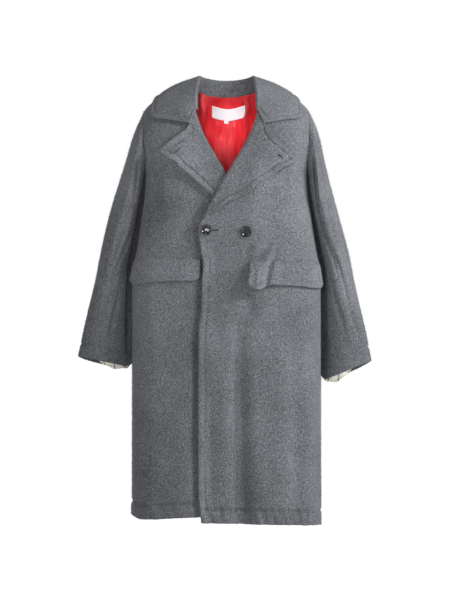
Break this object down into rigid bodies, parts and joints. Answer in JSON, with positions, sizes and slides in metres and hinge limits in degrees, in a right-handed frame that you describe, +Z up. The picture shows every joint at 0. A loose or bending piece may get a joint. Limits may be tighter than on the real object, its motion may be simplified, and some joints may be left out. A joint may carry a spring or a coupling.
{
  "type": "double-breasted coat",
  "caption": "Long wool double-breasted coat filled out as worn, open at neck, cuffs and hem, with peaked lapels and flap pockets; it hangs on the wearer's shoulders.",
  "frame": {"origin": "at the base of the neck, between the two shoulder points, where the wearer's shoulders hold the coat", "axes": "+Z up along the coat, -Y out of the front, +X towards the wearer's left"},
  "size_m": [0.749, 0.2786, 1.1405],
  "materials": {
    "wool": "brushed mid-grey melange wool with a soft nap",
    "lining_red": "red satin lining",
    "lining_cream": "cream sleeve lining with thin dark stripes",
    "label": "plain white woven tape",
    "button": "polished near-black resin"
  },
  "bodies": {
    "root": {"back": "wool", "front_left": "wool", "front_right": "wool", "sleeve_top_left": "wool", "sleeve_under_left": "wool", "sleeve_top_right": "wool", "sleeve_under_right": "wool", "collar": "wool", "lapel_left": "wool", "lapel_right": "wool", "flap_left": "wool", "flap_right": "wool", "button_left": "button", "button_right": "button", "lining_back": "lining_red", "lining_left": "lining_red", "lining_right": "lining_red", "label": "label", "size_tab": "label", "sleeve_lining_left": "lining_cream", "sleeve_lining_right": "lining_cream"}
  },
  "joints": []
}
